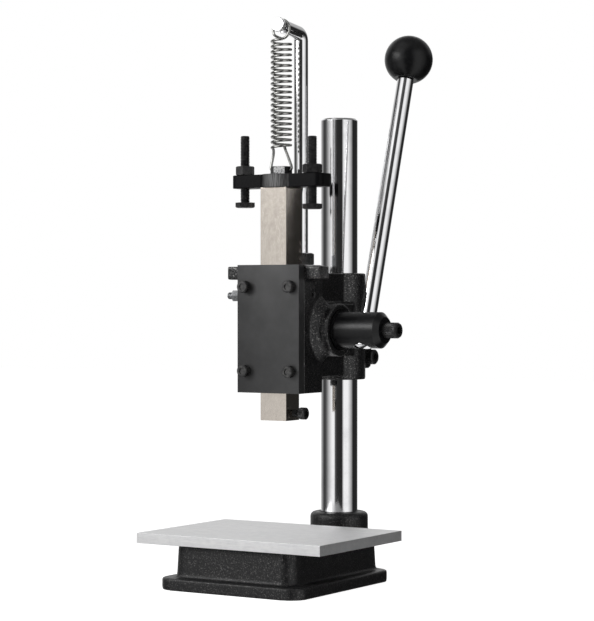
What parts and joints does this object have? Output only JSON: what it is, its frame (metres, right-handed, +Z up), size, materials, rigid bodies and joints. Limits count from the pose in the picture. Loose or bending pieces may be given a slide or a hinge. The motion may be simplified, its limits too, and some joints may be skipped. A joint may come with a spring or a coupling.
{
  "type": "manual die-cutting press",
  "caption": "Bench hand press: a lever turns a pinion that drives a square rack ram down onto a metal plate; the cast head clamps on a round column and a spring lifts the ram.",
  "frame": {"origin": "on the bench surface, straight under the ram's axis", "axes": "+Z up along the column and the ram, -Y towards the user, +X towards the lever hub"},
  "size_m": [0.186, 0.2131, 0.4694],
  "materials": {
    "black_casting": "black paint over a sand-cast skin",
    "black_cover": "satin black",
    "black_screw": "black oxide",
    "black_shaft": "turned, black oxide",
    "chrome": "hard chrome",
    "plate_aluminium": "milled",
    "ground_steel": "ground and nickel plated",
    "spring_steel": "bright drawn wire",
    "zinc_screw": "zinc plated",
    "gib_brass": "milled",
    "ball_plastic": "polished phenolic"
  },
  "bodies": {
    "stand": {"base_casting": "black_casting", "work_plate": "plate_aluminium", "plate_screws": "black_screw", "column": "chrome", "collar_set_screw": "black_screw"},
    "head": {"head_casting": "black_casting", "front_cover": "black_cover", "cover_screws": "black_screw", "clamp_bolts": "black_screw", "clamp_nuts": "black_screw", "gib_strip": "gib_brass", "gib_screw": "zinc_screw", "gib_lock_nut": "zinc_screw", "side_set_screw": "black_screw", "spring_post": "chrome", "post_lock_nut": "black_screw", "return_spring": "spring_steel"},
    "ram_set": {"ram": "ground_steel", "stop_yoke": "black_casting", "yoke_bolt": "zinc_screw", "left_stop_nut": "black_screw", "right_stop_nut": "black_screw"},
    "lever_set": {"pinion_shaft": "black_shaft", "shaft_end_washer": "black_screw", "shaft_end_screw": "black_screw", "lever_rod": "chrome", "lever_ball": "ball_plastic", "hub_end_screw": "black_screw"},
    "left_stop": {"left_stop_bolt": "black_screw"},
    "right_stop": {"right_stop_bolt": "black_screw"},
    "tool_screw": {"tool_clamp_screw": "black_screw"}
  },
  "joints": [
    {"name": "head_height", "type": "slide", "parent": "stand", "child": "head", "axis": [0, 0, 1], "range_m": [-0.04, 0.12]},
    {"name": "lever_turn", "type": "hinge", "parent": "head", "child": "lever_set", "pos_m": [0.0665, 0.0249, 0.2107], "axis": [1, 0, 0], "range_deg": [0, 145]},
    {"name": "ram_slide", "type": "slide", "parent": "head", "child": "ram_set", "axis": [0, 0, -1], "range_m": [0, 0.0356], "stiffness_N_per_m": 1800, "springref_m": -0.02, "deforming": ["return_spring"]},
    {"name": "left_stop_height", "type": "slide", "parent": "ram_set", "child": "left_stop", "axis": [0, 0, -1], "range_m": [-0.009, 0.0116]},
    {"name": "right_stop_height", "type": "slide", "parent": "ram_set", "child": "right_stop", "axis": [0, 0, -1], "range_m": [-0.0114, 0.0092]},
    {"name": "tool_screw_travel", "type": "slide", "parent": "ram_set", "child": "tool_screw", "axis": [1, 0, 0], "range_m": [-0.005, 0.004]}
  ],
  "couplings": [
    {"joint": "ram_slide", "follows": "lever_turn", "m_per_rad": 0.014}
  ]
}
